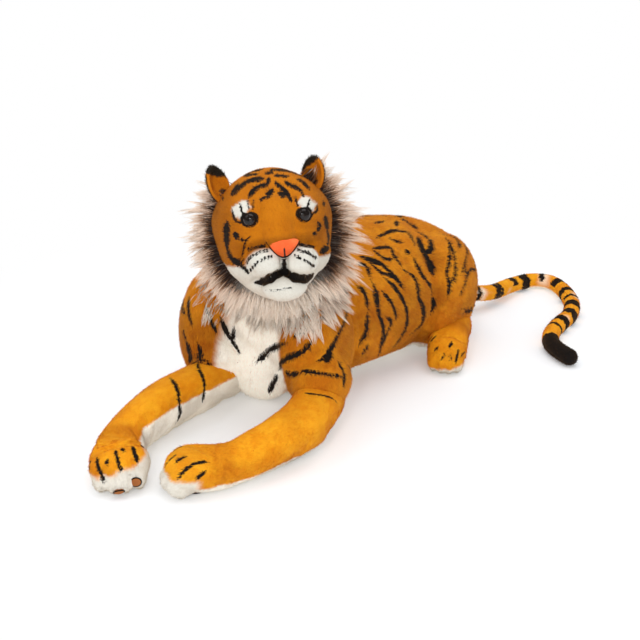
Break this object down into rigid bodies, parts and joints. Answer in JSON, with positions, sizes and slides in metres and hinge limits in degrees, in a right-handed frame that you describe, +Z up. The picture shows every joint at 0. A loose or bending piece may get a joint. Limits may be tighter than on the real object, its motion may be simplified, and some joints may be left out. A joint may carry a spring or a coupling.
{
  "type": "plush tiger",
  "caption": "Large lying plush tiger: stuffed torso, turning head on a neck, flexing forelegs, hind feet, ears and tail, and a flat belly to rest on.",
  "frame": {"origin": "on the floor under the middle of the box round the tiger, tail and paws included", "axes": "+Z up; the tiger lies along Y with its forepaws towards -Y, its own left side is +X, and its tail curls towards +X"},
  "size_m": [0.6698, 1.3242, 0.5144],
  "materials": {
    "orange_plush": "short orange plush with black stripes in the pile",
    "white_plush": "short cream-white plush",
    "ruff_plush": "long tipped plush, dark at the root and cream at the tips",
    "black_plush": "short black-brown plush",
    "pad_plush": "flat brown pad cloth",
    "nose_plush": "flat pinkish nose cloth with a black edge",
    "stuffing": "loose polyester fibre",
    "eye_plastic": "glossy black",
    "washer_plastic": "satin natural plastic"
  },
  "bodies": {
    "torso": {"torso_back_panel": "orange_plush", "torso_belly_panel": "white_plush", "torso_stuffing": "stuffing", "shoulder_left_skin": "orange_plush", "shoulder_left_stuffing": "stuffing", "shoulder_right_skin": "orange_plush", "shoulder_right_stuffing": "stuffing", "haunch_left_skin": "orange_plush", "haunch_left_stuffing": "stuffing", "haunch_right_skin": "orange_plush", "haunch_right_stuffing": "stuffing"},
    "neck": {"neck_skin": "ruff_plush", "neck_stuffing": "stuffing"},
    "foreleg_left": {"foreleg_left_upper_panel": "orange_plush", "foreleg_left_under_panel": "white_plush", "foreleg_left_toes": "white_plush", "foreleg_left_pad": "pad_plush", "foreleg_left_stuffing": "stuffing"},
    "foreleg_right": {"foreleg_right_upper_panel": "orange_plush", "foreleg_right_under_panel": "white_plush", "foreleg_right_toes": "white_plush", "foreleg_right_pad": "pad_plush", "foreleg_right_stuffing": "stuffing"},
    "hind_foot_left": {"hind_foot_left_upper_panel": "orange_plush", "hind_foot_left_under_panel": "white_plush", "hind_foot_left_toes": "white_plush", "hind_foot_left_stuffing": "stuffing"},
    "hind_foot_right": {"hind_foot_right_upper_panel": "orange_plush", "hind_foot_right_under_panel": "white_plush", "hind_foot_right_toes": "white_plush", "hind_foot_right_stuffing": "stuffing"},
    "tail_1": {"tail_1_skin": "orange_plush", "tail_1_stuffing": "stuffing"},
    "tail_2": {"tail_2_skin": "orange_plush", "tail_2_stuffing": "stuffing"},
    "tail_3": {"tail_3_skin": "orange_plush", "tail_3_stuffing": "stuffing"},
    "tail_4": {"tail_4_skin": "orange_plush", "tail_4_stuffing": "stuffing"},
    "tail_5": {"tail_5_skin": "black_plush", "tail_5_stuffing": "stuffing"},
    "head": {"head_skin": "orange_plush", "head_stuffing": "stuffing", "bridge": "orange_plush", "muzzle_left": "white_plush", "muzzle_right": "white_plush", "chin": "white_plush", "nose": "nose_plush", "eye_left": "eye_plastic", "eye_washer_left": "washer_plastic", "eye_right": "eye_plastic", "eye_washer_right": "washer_plastic", "ruff": "ruff_plush"},
    "ear_left": {"ear_left_outer": "black_plush", "ear_left_lining": "orange_plush"},
    "ear_right": {"ear_right_outer": "black_plush", "ear_right_lining": "orange_plush"}
  },
  "joints": [
    {"name": "head_turn", "type": "hinge", "parent": "torso", "child": "neck", "pos_m": [-0.13899, -0.21107, 0.30202], "axis": [0, 0, 1], "range_deg": [-25, 15], "stiffness_Nm_per_rad": 6},
    {"name": "head_nod", "type": "hinge", "parent": "neck", "child": "head", "pos_m": [-0.13899, -0.21107, 0.30202], "axis": [0.7753, 0.6278, 0.0698], "range_deg": [-10, 10], "stiffness_Nm_per_rad": 12},
    {"name": "ear_left_fold", "type": "hinge", "parent": "head", "child": "ear_left", "pos_m": [-0.03871, -0.22934, 0.45224], "axis": [0.9415, 0.1772, -0.2868], "range_deg": [-15, 15], "stiffness_Nm_per_rad": 0.3},
    {"name": "ear_right_fold", "type": "hinge", "parent": "head", "child": "ear_right", "pos_m": [-0.15771, -0.3257, 0.44153], "axis": [0.3316, 0.8538, 0.4013], "range_deg": [-15, 15], "stiffness_Nm_per_rad": 0.3},
    {"name": "foreleg_left_swing", "type": "hinge", "parent": "torso", "child": "foreleg_left", "pos_m": [-0.0197, -0.23669, 0.0485], "axis": [0, 0, 1], "range_deg": [-1, 10], "stiffness_Nm_per_rad": 3},
    {"name": "foreleg_right_swing", "type": "hinge", "parent": "torso", "child": "foreleg_right", "pos_m": [-0.23874, -0.23982, 0.0485], "axis": [0, 0, 1], "range_deg": [-10, 1], "stiffness_Nm_per_rad": 3},
    {"name": "hind_foot_left_swing", "type": "hinge", "parent": "torso", "child": "hind_foot_left", "pos_m": [0.05607, 0.22018, 0.0435], "axis": [0, 0, 1], "range_deg": [-8, 8], "stiffness_Nm_per_rad": 3},
    {"name": "hind_foot_right_swing", "type": "hinge", "parent": "torso", "child": "hind_foot_right", "pos_m": [-0.14994, 0.25394, 0.0435], "axis": [0, 0, 1], "range_deg": [-8, 8], "stiffness_Nm_per_rad": 3},
    {"name": "tail_1_lift", "type": "hinge", "parent": "torso", "child": "tail_1", "pos_m": [-0.01763, 0.34519, 0.066], "axis": [0.8427, -0.5385, 0], "range_deg": [0, 30], "stiffness_Nm_per_rad": 0.4},
    {"name": "tail_2_bend", "type": "hinge", "parent": "tail_1", "child": "tail_2", "pos_m": [0.05892, 0.50528, 0.0299], "axis": [0, 0, 1], "range_deg": [-9, 9], "stiffness_Nm_per_rad": 0.2},
    {"name": "tail_3_bend", "type": "hinge", "parent": "tail_2", "child": "tail_3", "pos_m": [0.16867, 0.62354, 0.0175], "axis": [0, 0, 1], "range_deg": [-9, 9], "stiffness_Nm_per_rad": 0.2},
    {"name": "tail_4_bend", "type": "hinge", "parent": "tail_3", "child": "tail_4", "pos_m": [0.24895, 0.46057, 0.0175], "axis": [0, 0, 1], "range_deg": [-9, 9], "stiffness_Nm_per_rad": 0.2},
    {"name": "tail_5_bend", "type": "hinge", "parent": "tail_4", "child": "tail_5", "pos_m": [0.24907, 0.32649, 0.0175], "axis": [0, 0, 1], "range_deg": [-9, 9], "stiffness_Nm_per_rad": 0.2}
  ]
}
